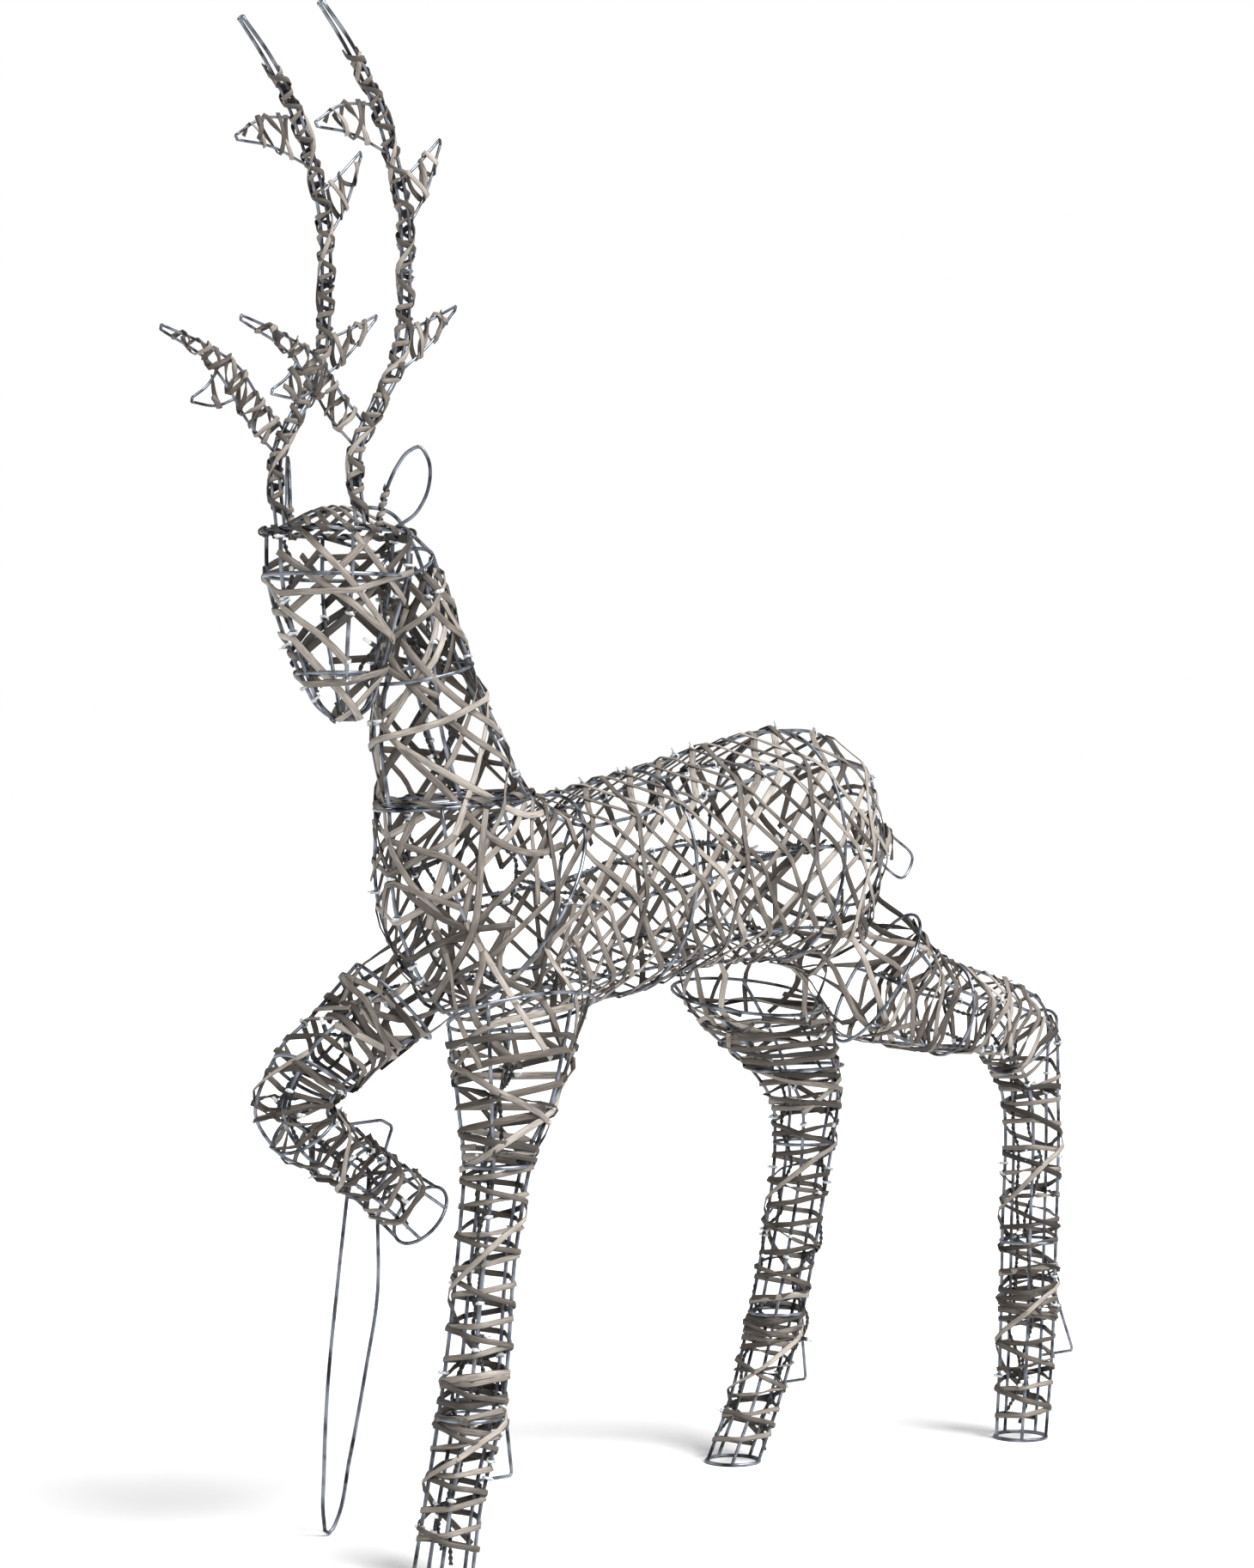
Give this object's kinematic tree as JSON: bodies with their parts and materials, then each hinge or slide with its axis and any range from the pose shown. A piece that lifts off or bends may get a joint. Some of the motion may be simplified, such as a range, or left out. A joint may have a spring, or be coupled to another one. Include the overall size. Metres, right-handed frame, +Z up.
{
  "type": "light-up reindeer figure",
  "caption": "Standing reindeer figure for outdoor winter display: an open steel wire frame wound with flat rattan strip, with a light string tied inside.",
  "frame": {"origin": "middle of the figure's bounding box at ground level", "axes": "+Z up, the animal faces -X, its left side is -Y"},
  "size_m": [1.2302, 0.2784, 1.3717],
  "materials": {
    "steel_wire": "dull grey, slightly bluish",
    "rattan_strip": "matte, grained along the strip",
    "light_cable": "satin black sheath"
  },
  "bodies": {
    "root": {"body_frame": "steel_wire", "body_wicker_under": "rattan_strip", "body_wicker_over": "rattan_strip", "light_string_body": "light_cable", "head_and_neck_frame": "steel_wire", "neck_wicker_under": "rattan_strip", "neck_wicker_over": "rattan_strip", "head_wicker": "rattan_strip", "light_string_neck": "light_cable", "front_left_leg_frame": "steel_wire", "front_left_leg_wicker": "rattan_strip", "light_string_front_left_leg": "light_cable", "hind_left_leg_frame": "steel_wire", "hind_left_leg_wicker": "rattan_strip", "light_string_hind_left_leg": "light_cable", "hind_right_leg_frame": "steel_wire", "hind_right_leg_wicker": "rattan_strip", "light_string_hind_right_leg": "light_cable", "front_right_leg_frame": "steel_wire", "front_right_leg_wicker_lower": "rattan_strip", "front_right_leg_wicker_upper": "rattan_strip", "light_string_front_right_leg": "light_cable", "raised_leg_prop": "steel_wire", "antler_left_frame": "steel_wire", "antler_left_wicker_lower": "rattan_strip", "antler_left_wicker_middle": "rattan_strip", "antler_left_wicker_upper": "rattan_strip", "antler_right_frame": "steel_wire", "antler_right_wicker_lower": "rattan_strip", "antler_right_wicker_middle": "rattan_strip", "antler_right_wicker_upper": "rattan_strip", "ear_left": "steel_wire", "ear_right": "steel_wire", "tail_frame": "steel_wire", "tail_wicker": "rattan_strip"}
  },
  "joints": []
}
